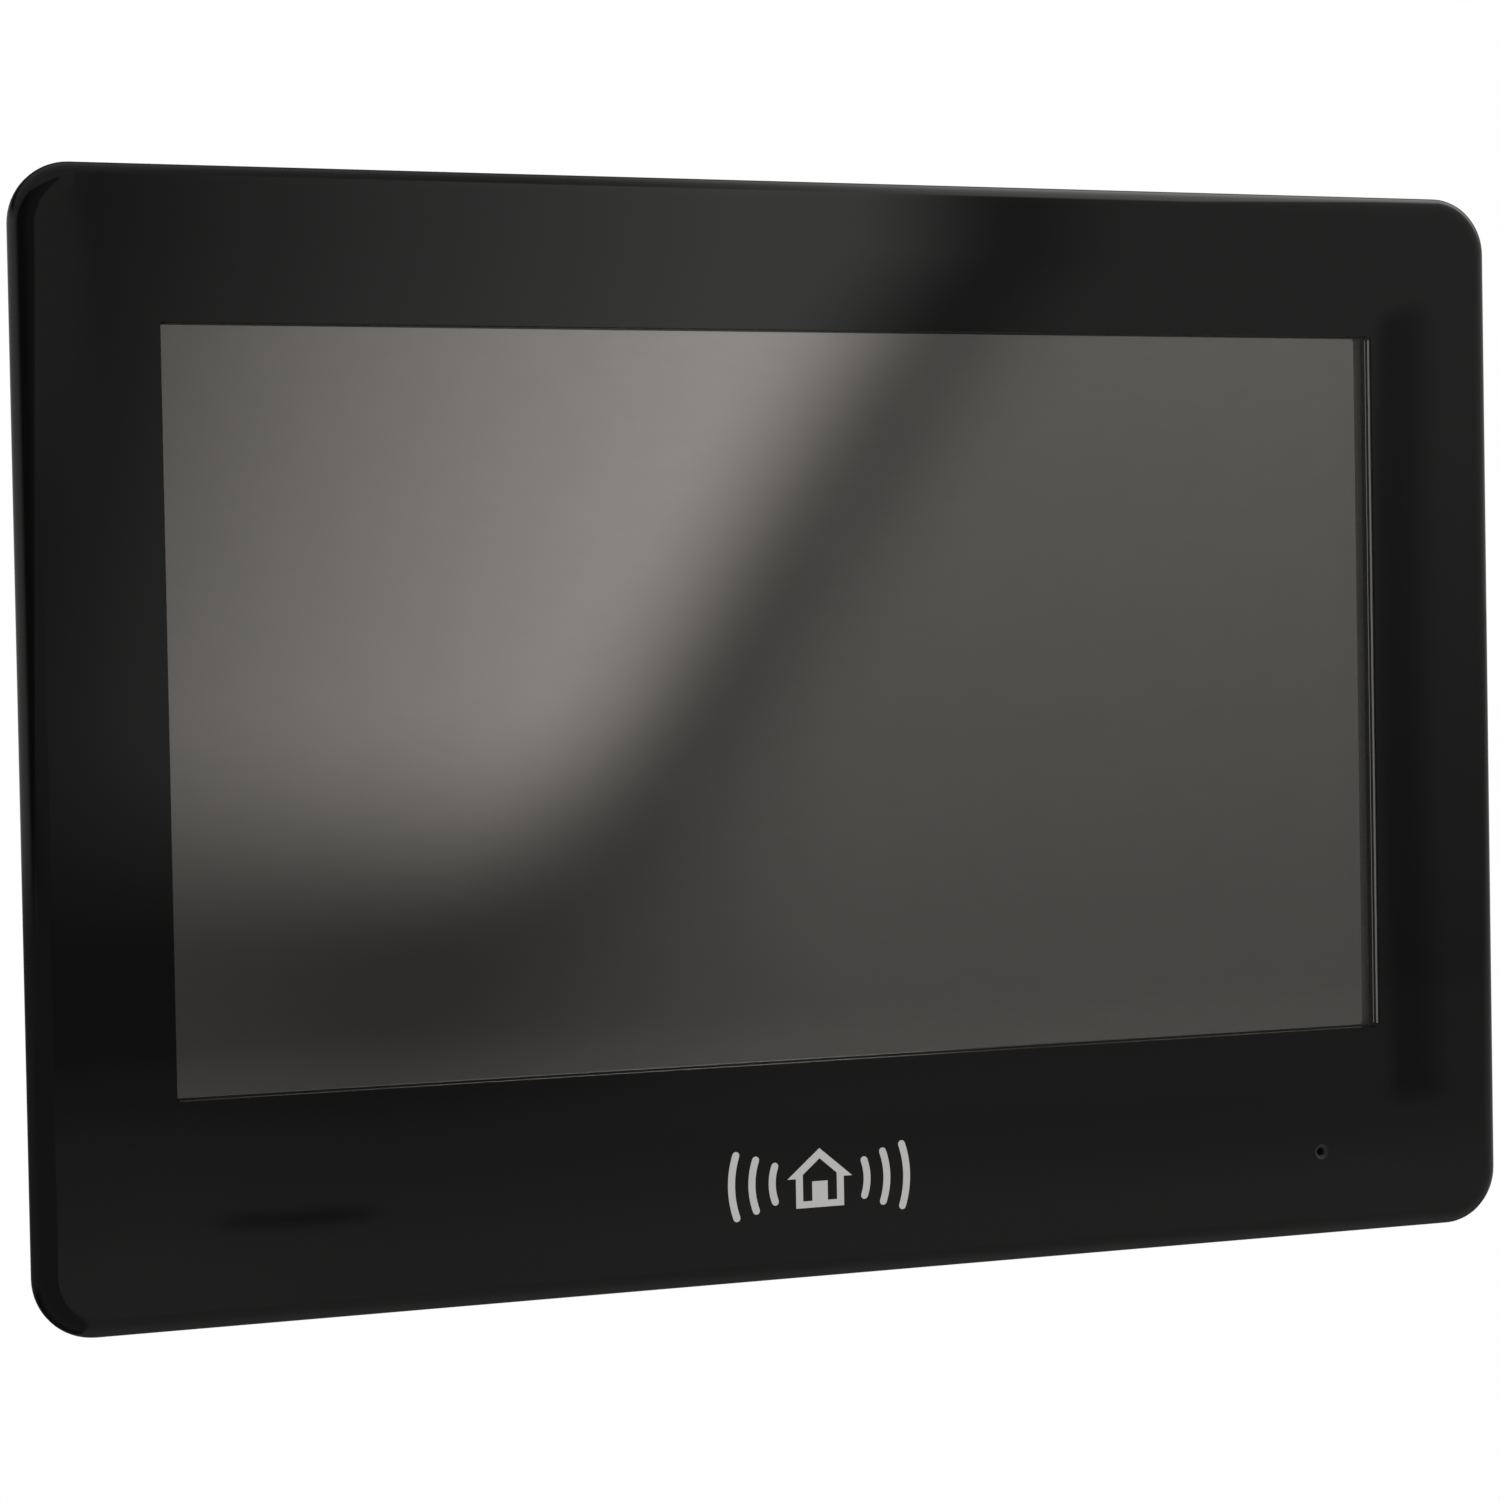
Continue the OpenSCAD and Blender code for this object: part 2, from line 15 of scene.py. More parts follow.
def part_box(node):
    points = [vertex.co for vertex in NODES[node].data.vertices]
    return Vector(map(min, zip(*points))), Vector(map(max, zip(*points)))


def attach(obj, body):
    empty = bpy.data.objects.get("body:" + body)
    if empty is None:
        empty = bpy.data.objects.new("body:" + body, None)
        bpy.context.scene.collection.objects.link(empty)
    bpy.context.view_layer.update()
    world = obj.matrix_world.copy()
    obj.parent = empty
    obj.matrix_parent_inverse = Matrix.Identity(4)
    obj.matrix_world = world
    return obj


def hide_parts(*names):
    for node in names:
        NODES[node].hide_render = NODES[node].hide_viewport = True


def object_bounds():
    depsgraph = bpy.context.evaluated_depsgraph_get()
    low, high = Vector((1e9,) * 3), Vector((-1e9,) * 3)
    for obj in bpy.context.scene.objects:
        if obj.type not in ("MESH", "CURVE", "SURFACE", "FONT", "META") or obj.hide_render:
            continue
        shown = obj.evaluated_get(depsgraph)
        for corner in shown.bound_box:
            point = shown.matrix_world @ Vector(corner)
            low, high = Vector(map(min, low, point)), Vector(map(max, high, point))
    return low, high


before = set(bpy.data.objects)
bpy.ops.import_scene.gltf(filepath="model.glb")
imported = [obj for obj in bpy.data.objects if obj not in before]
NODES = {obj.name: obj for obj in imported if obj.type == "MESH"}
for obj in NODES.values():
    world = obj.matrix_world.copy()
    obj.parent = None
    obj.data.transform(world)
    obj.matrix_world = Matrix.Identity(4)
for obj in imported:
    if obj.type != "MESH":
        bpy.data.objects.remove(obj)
cad_low, cad_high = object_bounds()
scene = bpy.context.scene
scene.view_settings.view_transform = "Standard"
FRONT_Y = cad_low.y


def mm(*values):
    """Millimetres in metres: one number, or a Vector of three."""
    return values[0] * 0.001 if len(values) == 1 else Vector(values) * 0.001


# ---- Shader nodes --------------------------------------------------------


class Net:
    """Adds nodes to one shader tree. Each call returns the new node's output socket."""

    def __init__(self, tree):
        self.tree = tree
        tree.nodes.clear()

    def add(self, kind, inputs=None, out=0, **settings):
        node = self.tree.nodes.new("ShaderNode" + kind)
        for key, value in settings.items():
            setattr(node, key, value)
        for key, value in (inputs or {}).items():
            if isinstance(value, bpy.types.NodeSocket):
                self.tree.links.new(value, node.inputs[key])
            else:
                node.inputs[key].default_value = value
        return node.outputs[out]

    def calc(self, operation, a, b=0.0):
        return self.add("Math", {0: a, 1: b}, operation=operation)

    def step(self, value, start, end, low=0.0, high=1.0):
        """low at start, high at end, eased between them and held beyond."""
        return self.add(
            "MapRange",
            {0: value, 1: start, 2: end, 3: low, 4: high},
            interpolation_type="SMOOTHSTEP",
        )

    def blend(self, share, a, b):
        return self.add("Mix", {0: share, 2: a, 3: b})

    def tint(self, share, a, b):
        return self.add("Mix", {0: share, 6: a, 7: b}, out=2, data_type="RGBA")

    def split(self, vector):
        node = self.add("SeparateXYZ", {0: vector}).node
        return node.outputs[0], node.outputs[1], node.outputs[2]

    def place(self, scale=(1.0, 1.0, 1.0)):
        """The point on the piece, in metres, stretched by scale."""
        point = self.add("TexCoord", out="Object")
        return self.add("Mapping", {0: point, 3: scale})

    def noise(self, place, scale, detail=3.0, rough=0.5):
        return self.add(
            "TexNoise", {"Vector": place, "Scale": scale, "Detail": detail, "Roughness": rough}
        )

    def finish(self, surface, output="Material"):
        node = self.tree.nodes.new("ShaderNodeOutput" + output)
        self.tree.links.new(surface, node.inputs["Surface"])


def new_finish(name):
    """An empty material, and the Net that fills its shader tree."""
    material = bpy.data.materials.new(name)
    material.use_nodes = True
    return material, Net(material.node_tree)


def grey(value, warm=0.0):
    """A grey as red, green, blue and alpha, with a little more red and less blue if it is warm."""
    return (value * (1 + warm), value, value * (1 - warm), 1.0)


def surface(name, dark, light, rough, grain=1500.0, relief=0.0, metallic=0.0, stretch=(1, 1, 1),
            glow=0.0):
    """A finish whose colour wanders from dark to light and whose roughness from rough[0] to rough[1].

    grain is the fine noise's scale per metre, relief its height in metres, and stretch draws it out.
    glow is a little emission that paints light: a clear sheet's lit edge, and extra light on a print that
    the studio light leaves dull."""
    material, net = new_finish(name)
    place = net.place(stretch)
    broad = net.noise(place, grain / 18, 2.0)
    fine = net.noise(place, grain, 4.0, 0.6)
    inputs = {
        "Base Color": net.tint(net.step(broad, 0.35, 0.68), dark, light),
        "Roughness": net.step(fine, 0.3, 0.7, rough[0], rough[1]),
        "Metallic": metallic,
    }
    if glow:
        inputs["Emission Color"] = (1.0, 0.98, 0.95, 1.0)
        inputs["Emission Strength"] = glow
    if relief:
        inputs["Normal"] = net.add("Bump", {"Height": fine, "Strength": 1.0, "Distance": relief})
    net.finish(net.add("BsdfPrincipled", inputs))
    return material


def specks(net, place, scale, share, size):
    """1 in a few small round specks, one to a cell in that share of the cells, else 0."""
    cells = net.add(
        "TexVoronoi", {"Vector": place, "Scale": scale, "Randomness": 1.0}, feature="F1"
    ).node
    chosen = net.calc("LESS_THAN", net.split(cells.outputs["Color"])[0], share)
    near = net.step(cells.outputs["Distance"], size, size * 0.6)
    return net.calc("MULTIPLY", chosen, near)


def piano_black():
    """Mirror-like moulded black, with faint orange peel, hairline swirls and a little dust."""
    material, net = new_finish("piano_black")
    place = net.place()
    dust = specks(net, place, 60.0, 0.05, 0.006)
    peel = net.noise(place, 220.0, 2.0)
    haze = net.noise(place, 35.0, 3.0)
    shader = net.add(
        "BsdfPrincipled",
        {
            "Base Color": net.tint(dust, grey(0.0028, 0.03), grey(0.09)),
            "Roughness": net.blend(dust, net.step(haze, 0.3, 0.7, 0.024, 0.036), 0.6),
            "IOR": 1.49,
            "Normal": net.add("Bump", {"Height": peel, "Strength": 1.0, "Distance": 6e-7}),
        },
    )
    net.finish(shader)
    return material


def clear_window():
    """Clear flush window: its front mirrors as glass does, and nothing in it bends the light."""
    material, net = new_finish("clear_window")
    haze = net.noise(net.place(), 45.0, 3.0)
    clear = net.add("BsdfTransparent", {"Color": (0.985, 0.985, 0.98, 1.0)})
    gloss = net.add(
        "BsdfGlossy",
        {"Color": (1, 1, 1, 1), "Roughness": net.step(haze, 0.3, 0.7, 0.03, 0.05)},
    )
    share = net.add("Fresnel", {"IOR": 1.49})
    net.finish(net.add("MixShader", {0: share, 1: clear, 2: gloss}))
    return material


def clear_edge():
    """The window's edges and back, bonded to what they touch, so nearly nothing is seen of them."""
    material, net = new_finish("clear_edge")
    streak = net.noise(net.place((1, 1, 6)), 160.0, 2.0)
    colour = net.tint(net.step(streak, 0.3, 0.7), (0.99, 0.99, 0.985, 1), (0.97, 0.97, 0.965, 1))
    net.finish(net.add("BsdfTransparent", {"Color": colour}))
    return material


def display_face():
    """The dark panel's warm half-mirror: polariser film with a faint cloud of haze."""
    material, net = new_finish("display_face")
    place = net.place()
    dust = specks(net, place, 75.0, 0.05, 0.006)
    cloud = net.noise(place, 14.0, 2.0)
    haze = net.noise(place, 60.0, 2.0)
    film = net.tint(net.step(cloud, 0.3, 0.7), (0.266, 0.2545, 0.245, 1), (0.274, 0.262, 0.2525, 1))
    shader = net.add(
        "BsdfPrincipled",
        {
            "Base Color": net.tint(dust, film, grey(0.5)),
            "Metallic": 1.0,
            "Roughness": net.step(haze, 0.2, 0.8, 0.042, 0.05),
        },
    )
    net.finish(shader)
    return material


def sheet_steel(name, tone, rough, spangle):
    """Plated sheet steel: long rolled grain over a faint patchwork of crystals."""
    material, net = new_finish(name)
    rolled = net.noise(net.place((0.05, 1, 1)), 6500.0, 3.0, 0.7)
    crystals = net.add("TexVoronoi", {"Vector": net.place(), "Scale": 380.0}).node
    patch = net.split(crystals.outputs["Color"])[0]
    stain = net.noise(net.place(), 38.0, 4.0)
    base = net.tint(patch, grey(tone * (1 - spangle)), grey(tone))
    base = net.tint(net.step(stain, 0.55, 0.8, 0.0, 0.5), base, grey(tone * 0.72, 0.02))
    low, high = rough
    shader = net.add(
        "BsdfPrincipled",
        {
            "Base Color": base,
            "Metallic": 1.0,
            "Roughness": net.calc(
                "ADD", net.step(rolled, 0.3, 0.7, low, high), net.calc("MULTIPLY", patch, 0.05)
            ),
            "Normal": net.add("Bump", {"Height": rolled, "Strength": 0.6, "Distance": 3e-6}),
        },
    )
    net.finish(shader)
    return material


def edge_lines(net, lo, hi, inset, width):
    """1 on a printed frame line set in from the box lo..hi in X and Z, else 0."""
    x, _, z = net.split(net.place())
    far = []
    for value, a, b in ((x, lo.x, hi.x), (z, lo.z, hi.z)):
        middle, half = (a + b) / 2, (b - a) / 2 - inset
        away = net.calc("ABSOLUTE", net.calc("SUBTRACT", value, middle))
        far.append(net.calc("SUBTRACT", away, half))
    edge = net.calc("ABSOLUTE", net.calc("MAXIMUM", far[0], far[1]))
    return net.step(edge, width * 0.7, width * 0.5), x, z


def label_paper():
    """A blank rating label: satin paper, a printed frame, two ruled fields and a plain dark block."""
    lo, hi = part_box("rating_label")
    material, net = new_finish("label_paper")
    line, x, z = edge_lines(net, lo, hi, mm(1.1), mm(0.3))

    def bar(x0, x1, z0, z1):
        inside = net.calc("MULTIPLY", net.step(x, x0 - 5e-5, x0), net.step(x, x1, x1 + 5e-5, 1, 0))
        inside = net.calc("MULTIPLY", inside, net.step(z, z0 - 5e-5, z0))
        return net.calc("MULTIPLY", inside, net.step(z, z1, z1 + 5e-5, 1, 0))

    ink = line
    for x0, x1, z0, z1 in (
        (-16.5, 4, 1.2, 1.4), (-16.5, 4, 4.2, 4.4), (-16.5, 4, 7.2, 7.4), (8, 15.5, -1.2, 6.3),
    ):
        ink = net.calc("MAXIMUM", ink, bar(mm(x0), mm(x1), mm(z0), mm(z1)))
    fibre = net.noise(net.place(), 2600.0, 4.0)
    paper = net.tint(fibre, grey(0.62, 0.01), grey(0.74, 0.015))
    shader = net.add(
        "BsdfPrincipled",
        {
            "Base Color": net.tint(ink, paper, grey(0.03)),
            "Roughness": net.step(fibre, 0.3, 0.7, 0.42, 0.56),
            "Normal": net.add("Bump", {"Height": fibre, "Strength": 0.5, "Distance": 4e-6}),
        },
    )
    net.finish(shader)
    return material


def circuit_board():
    """Green solder resist with the copper's traces showing faintly through it, and tinned pads."""
    material, net = new_finish("circuit_board")
    x, _, z = net.split(net.place())
    plan = net.add("CombineXYZ", {0: x, 1: z})
    tracks = net.add(
        "TexBrick",
        {"Vector": plan, "Scale": 260.0, "Mortar Size": 0.05, "Brick Width": 2.3, "Row Height": 0.33,
         "Color1": grey(0), "Color2": grey(0), "Mortar": grey(1)},
    )
    pads = net.add("TexVoronoi", {"Vector": plan, "Scale": 420.0, "Randomness": 0.35}).node
    pad = net.step(pads.outputs["Distance"], 0.17, 0.13)
    green = net.tint(tracks, (0.008, 0.075, 0.03, 1), (0.012, 0.125, 0.05, 1))
    shader = net.add(
        "BsdfPrincipled",
        {
            "Base Color": net.tint(pad, green, grey(0.55)),
            "Metallic": pad,
            "Roughness": net.blend(pad, 0.28, 0.35),
            "Normal": net.add("Bump", {"Height": tracks, "Strength": 0.5, "Distance": 2e-5}),
        },
    )
    net.finish(shader)
    return material


def foam():
    """Closed-cell foam: a matt dark skin of small burst bubbles."""
    material, net = new_finish("foam")
    cells = net.add("TexVoronoi", {"Vector": net.place(), "Scale": 3200.0}).node
    depth = cells.outputs["Distance"]
    # The colour is darker down in each bubble's pit than on its rim: painted shade in the hollows.
    shader = net.add(
        "BsdfPrincipled",
        {
            "Base Color": net.tint(depth, grey(0.02), grey(0.055)),
            "Roughness": net.step(depth, 0.1, 0.8, 0.95, 0.8),
            "Normal": net.add("Bump", {"Height": depth, "Strength": 0.7, "Distance": 5e-5}),
        },
    )
    net.finish(shader)
    return material


def make_finishes():
    gold = (0.83, 0.6, 0.22, 1.0)
    return {
        "bracket_steel": sheet_steel("bracket_steel", 0.66, (0.3, 0.46), 0.05),
        "piano_black": piano_black(),
        "clear_window": clear_window(),
        "foam": foam(),
        "display_face": display_face(),
        "light_guide": surface("light_guide", grey(0.75), grey(0.85), (0.3, 0.4), 900),
        "tray_steel": sheet_steel("tray_steel", 0.6, (0.28, 0.4), 0.04),
        "flex_film": surface(
            "flex_film", (0.45, 0.2, 0.03, 1), (0.6, 0.3, 0.06, 1), (0.25, 0.4), 1800, 2e-6
        ),
        "screw_steel": surface(
            "screw_steel", grey(0.5), grey(0.62), (0.22, 0.38), 5000, 1e-6, 1.0, (1, 1, 0.15)
        ),
        "black_screw": surface(
            "black_screw", grey(0.035), grey(0.07), (0.3, 0.45), 6000, 2e-6, 1.0, (1, 0.3, 1)
        ),
        "housing_black": surface(
            "housing_black", grey(0.0135), grey(0.0165), (0.4, 0.55), 5200, 2.2e-5
        ),
        "label_paper": label_paper(),
        "circuit_board": circuit_board(),
        "chip_epoxy": surface("chip_epoxy", grey(0.02), grey(0.03), (0.5, 0.65), 5000, 6e-6),
        "tin_plate": sheet_steel("tin_plate", 0.72, (0.2, 0.34), 0.03),
        "part_sleeve": surface("part_sleeve", grey(0.03), grey(0.045), (0.3, 0.4), 2600, 3e-6),
        "connector_ivory": surface(
            "connector_ivory", grey(0.6, 0.05), grey(0.7, 0.05), (0.4, 0.5), 3000, 4e-6
        ),
        "contact_gold": surface(
            "contact_gold", gold, (0.9, 0.68, 0.3, 1), (0.15, 0.3), 4500, 0, 1.0
        ),
        "terminal_green": surface(
            "terminal_green", (0.012, 0.155, 0.05, 1), (0.018, 0.2, 0.066, 1), (0.33, 0.47), 3600, 9e-6
        ),
        "card_black": surface("card_black", grey(0.012), grey(0.02), (0.35, 0.45), 4000, 4e-6),
        "button_cap": surface("button_cap", grey(0.62, 0.02), grey(0.7, 0.02), (0.3, 0.4), 4000, 2e-6),
        "cone_paper": surface("cone_paper", grey(0.05, 0.1), grey(0.1, 0.1), (0.7, 0.85), 3800, 2e-5),
        "magnet_steel": sheet_steel("magnet_steel", 0.5, (0.3, 0.45), 0.05),
        "boot_rubber": surface("boot_rubber", grey(0.015), grey(0.025), (0.6, 0.75), 4200, 8e-6),
        # finishes of one part of a piece, or of a piece that has no slot
        "clear_edge": clear_edge(),
        "display_border": surface(
            "display_border", grey(0.22, 0.02), grey(0.24, 0.02), (0.2, 0.3), 2200
        ),
        # Bond line: light grey with a little emission, painted light for the lit edge of the clear sheet.
        "bond_line_painted_light": surface(
            "bond_line_painted_light", grey(0.42, 0.02), grey(0.56, 0.02), (0.35, 0.5), 1500, glow=0.11
        ),
        # Mic hole's rim: lighter grey, painted sheen for the light its countersink catches.
        "mic_rim_painted_sheen": surface("mic_rim_painted_sheen", grey(0.07), grey(0.1), (0.4, 0.5), 4000, 2e-6),
        # Printed mark: light grey print, with a little emission as painted light on it.
        "print_grey_painted_light": surface("print_grey_painted_light", grey(0.86), grey(0.92), (0.3, 0.42), 5000, 1e-6, glow=0.22),
    }


# ---- Mesh helpers --------------------------------------------------------


def add_piece(name, bm, finishes, body, stands_for=(), smooth=35.0, bevel=None):
    """A finished mesh object that rides on a body.

    bevel is (width, segments), for the edges that have a bevel weight."""
    mesh = bpy.data.meshes.new(name)
    bmesh.ops.recalc_face_normals(bm, faces=bm.faces)
    bm.to_mesh(mesh)
    bm.free()
    for finish in finishes:
        mesh.materials.append(finish)
    piece = bpy.data.objects.new(name, mesh)
    scene.collection.objects.link(piece)
    mesh.shade_smooth()
    if bevel:
        width, segments = bevel
        rounded = piece.modifiers.new("edges", "BEVEL")
        rounded.width = width
        rounded.segments = segments
        rounded.limit_method = "WEIGHT"
        rounded.use_clamp_overlap = False
        rounded.miter_outer = "MITER_ARC"
        rounded.harden_normals = True
    else:
        mesh.set_sharp_from_angle(angle=math.radians(smooth))
        shading = piece.modifiers.new("shading", "WEIGHTED_NORMAL")
        shading.weight = 100
        shading.keep_sharp = True
    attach(piece, body)
    if stands_for:
        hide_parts(*stands_for)
    return piece


WELD = 2e-6  # metres within which a CAD node's vertices are one
FLAT_WITHIN = 0.6  # degrees between facets that are joined into one flat face
ROUNDED_FROM = 32  # degrees between faces from which their edge is rounded


def clean_copy(node):
    """A CAD node's solid as a bmesh, with its facets joined into whole flat faces."""
    source = NODES[node].data
    mesh = bpy.data.meshes.new("copy")
    mesh.from_pydata([v.co for v in source.vertices], [], [tuple(p.vertices) for p in source.polygons])
    bm = bmesh.new()
    bm.from_mesh(mesh)
    bpy.data.meshes.remove(mesh)
    bmesh.ops.remove_doubles(bm, verts=bm.verts, dist=WELD)
    bmesh.ops.dissolve_limit(bm, angle_limit=math.radians(FLAT_WITHIN), verts=bm.verts, edges=bm.edges)
    return bm


def refine(node, body, slot, width, segments=2, keep_sharp=None):
    """Rebuilds a CAD node with rounded edges and the finish of its slot.

    keep_sharp tells, from an edge's middle, which edges stay as they are."""
    bm = clean_copy(node)
    weight = bm.edges.layers.float.new("bevel_weight_edge")
    for edge in bm.edges:
        if edge.calc_face_angle(0.0) > math.radians(ROUNDED_FROM):
            if keep_sharp and keep_sharp((edge.verts[0].co + edge.verts[1].co) / 2):
                edge.smooth = False
            else:
                edge[weight] = 1.0
    return add_piece(
        node + "_piece", bm, [FINISH[slot]], body, [node], bevel=(mm(width), segments)
    )


# where the rear cover's edges stay sharp, in millimetres in the frame
VENTS_ABOVE, VENTS_X, VENTS_Y = 50, (12, 57), (-12.2, -5.8)
SPEAKER_X, SPEAKER_HALF, SPEAKER_Z = 69.2, 6, (-38, -6)
OPENINGS_HALF, OPENINGS_Z = 44, (-18.5, -11)


def at_slots(point):
    """Whether a point is at the vents, the speaker slots or the pocket's openings for connectors.

    Their edges are too close together to be rounded."""
    x, y, z = point * 1000
    vents = (
        abs(z) > VENTS_ABOVE and VENTS_X[0] < abs(x) < VENTS_X[1] and VENTS_Y[0] < y < VENTS_Y[1]
    )
    speaker = abs(x - SPEAKER_X) < SPEAKER_HALF and SPEAKER_Z[0] < z < SPEAKER_Z[1]
    openings = abs(x) < OPENINGS_HALF and OPENINGS_Z[0] < z < OPENINGS_Z[1]
    return vents or speaker or openings


def front_point(x, y, z):
    """A point in metres, given in millimetres across, behind the CAD front, and up."""
    return mm(x, y, z) + Vector((0, FRONT_Y, 0))


def rounded_box_ring(width, height, radius, y, centre=(0.0, 0.0), steps=16):
    """Points round a rectangle with round corners, in millimetres, as metres, y deep."""
    points = []
    for quarter, (sx, sz) in enumerate(((1, 1), (-1, 1), (-1, -1), (1, -1))):
        for i in range(steps + 1):
            a = math.pi / 2 * (quarter + i / steps)
            x = sx * (width / 2 - radius) + radius * math.cos(a)
            z = sz * (height / 2 - radius) + radius * math.sin(a)
            points.append(front_point(centre[0] + x, y, centre[1] + z))
    return points


def circle_ring(x, z, radius, y, steps=24):
    turn = 2 * math.pi / steps
    return [
        front_point(x + radius * math.cos(turn * i), y, z + radius * math.sin(turn * i))
        for i in range(steps)
    ]


def loft(bm, rings, finish=0, closed=False):
    """Joins rings of points, each to the next, and returns their vertices."""
    made = [[bm.verts.new(p) for p in ring] for ring in rings]
    pairs = list(zip(made, made[1:] + made[:1] if closed else made[1:]))
    for a, b in pairs:
        for i in range(len(a)):
            j = (i + 1) % len(a)
            bm.faces.new((a[i], a[j], b[j], b[i])).material_index = finish
    return made


def fill(bm, *rings, finish=0):
    """Fills the flat area inside the first ring and outside the others."""
    edges = []
    for ring in rings:
        for a, b in zip(ring, ring[1:] + ring[:1]):
            edges.append(bm.edges.get((a, b)) or bm.edges.new((a, b)))
    done = bmesh.ops.triangle_fill(bm, edges=edges, use_beauty=True, use_dissolve=False)
    for face in done["geom"]:
        if isinstance(face, bmesh.types.BMFace):
            face.material_index = finish


# ---- The front -----------------------------------------------------------

# millimetres: across and up from the front's middle, and depths behind the CAD front
FRONT_SIZE = (189.0, 129.8)
CORNER = 7.0
EDGE = 2.6
EDGE_TURN = 131.9  # degrees that the edge round turns through, past the widest line
EDGE_SHARE = 0.994  # its depth as a share of a true round's
RIM_DEPTH = 7.5
RIM_INSET = 3.5
RIM_SOFT = 0.12
RIM_WALL = 2.0
RIM_CORNER = CORNER - RIM_INSET / 2
WALL = 1.5
PROUD = 0.02  # the printed mark stands this far out of the moulding, which starts behind the CAD face
WINDOW = (155.0, 86.3)
WINDOW_AT = (-0.75, 4.1)
LIVE_LOW, LIVE_HIGH = (-78.72, -38.95), (75.48, 47.67)  # corners of the display's bright face
MIC = (68.1, -54.3)
DISPLAY = 2.1
BOSS = (84.6, 55.2)
BOSS_BORE, BOSS_RADIUS, BOSS_END = 0.95, 2.6, 7.78
MARK = (-0.5, -52.8)
MARK_BACK = 0.002


def inset_ring(inset, y, radius=None):
    """Outline of the front moved inwards by `inset`, with its own corner radius where it has one."""
    return rounded_box_ring(
        FRONT_SIZE[0] - 2 * inset, FRONT_SIZE[1] - 2 * inset,
        max(CORNER - inset, 1.5) if radius is None else radius, y
    )


def build_front_cover():
    bm = bmesh.new()
    steps = 12
    rings = []
    for i in range(steps + 1):
        t = math.radians(EDGE_TURN * i / steps)
        depth = PROUD + EDGE * (1 - math.cos(t)) * EDGE_SHARE
        rings.append(inset_ring(EDGE * (1 - math.sin(t)), depth))
    for inset, depth, corner in (
        (-RIM_SOFT, RIM_DEPTH - 0.25, RIM_SOFT / 2), (0.0, RIM_DEPTH - 0.08, 0.0),
        (RIM_SOFT, RIM_DEPTH, -RIM_SOFT / 2), (RIM_WALL, RIM_DEPTH, -RIM_WALL), (RIM_WALL, WALL, -RIM_WALL),
    ):
        rings.append(inset_ring(RIM_INSET + inset, depth, RIM_CORNER + corner))
    outer = loft(bm, rings)

    def window_ring(y, grow=0.0):
        return rounded_box_ring(
            WINDOW[0] + grow, WINDOW[1] + grow, 0.45 + grow / 2, y, WINDOW_AT, 4
        )

    window = loft(bm, [window_ring(PROUD, 0.06), window_ring(PROUD + 0.03), window_ring(WALL)])
    mic = loft(
        bm,
        [
            circle_ring(*MIC, 0.95, PROUD), circle_ring(*MIC, 0.9, PROUD + 0.03),
            circle_ring(*MIC, 0.52, 0.3), circle_ring(*MIC, 0.5, 0.36), circle_ring(*MIC, 0.5, WALL),
        ],
    )
    # The countersink and the hole's mouth take the lighter grey: painted sheen of the light the countersink
    # catches.
    for ring in mic[:4]:
        for face in {f for v in ring for f in v.link_faces}:
            face.material_index = 1
    fill(bm, outer[0], window[0], mic[0])
    fill(bm, outer[-1], window[-1], mic[-1])
    for x in (-BOSS[0], BOSS[0]):
        for z in (-BOSS[1], BOSS[1]):
            loft(
                bm,
                [circle_ring(x, z, BOSS_BORE, WALL + 0.1), circle_ring(x, z, BOSS_RADIUS, WALL + 0.1),
                 circle_ring(x, z, BOSS_RADIUS, BOSS_END), circle_ring(x, z, BOSS_BORE, BOSS_END)],
                closed=True,
            )
    return add_piece(
        "front_moulding", bm, [FINISH["piano_black"], FINISH["mic_rim_painted_sheen"]], "monitor",
        ["front_cover"], smooth=15,
    )


def build_window():
    bm = bmesh.new()

    def ring(y, grow, radius=0.42):
        return rounded_box_ring(WINDOW[0] + grow, WINDOW[1] + grow, radius, y, WINDOW_AT, 4)

    rings = loft(
        bm,
        [ring(PROUD, -0.14), ring(PROUD + 0.05, -0.04), ring(WALL, -0.04), ring(WALL, 5.8),
         ring(WALL + 0.3, 5.8)],
        finish=1,
    )
    fill(bm, rings[0])
    fill(bm, rings[-1], finish=1)
    return add_piece(
        "window_glazing", bm, [FINISH["clear_window"], FINISH["clear_edge"]], "monitor",
        ["window_pane"], smooth=20,
    )


def build_bond_painted_light():
    """The two lines of bonding in the window's side edges, a little uneven along them, with emission that
    paints the light the clear sheet's edge catches. They are built at the left and right only, where that
    light shows.
    """
    chance = random.Random(7)
    low, high = WINDOW_AT[1] - WINDOW[1] / 2 + 0.3, WINDOW_AT[1] + WINDOW[1] / 2 - 0.3
    count = 60
    for name, depth, width in (("bond_front_painted_light", 0.6, 0.4), ("bond_back_painted_light", 1.42, 0.14)):
        bm = bmesh.new()
        for side in (-1, 1):
            wall = WINDOW_AT[0] + side * WINDOW[0] / 2
            outline = ((0.014, -0.5), (0.014, 0.5), (0.006, 0.5), (0.006, -0.5))
            rings = []
            for i in range(count + 1):
                wobble = chance.uniform(-1, 1) * 0.02
                z = low + (high - low) * i / count
                rings.append([
                    front_point(wall - side * out, depth + across * width + wobble, z)
                    for out, across in outline
                ])
            made = loft(bm, rings)
            bm.faces.new(made[0])
            bm.faces.new(made[-1])
        add_piece(name, bm, [FINISH["bond_line_painted_light"]], "monitor")


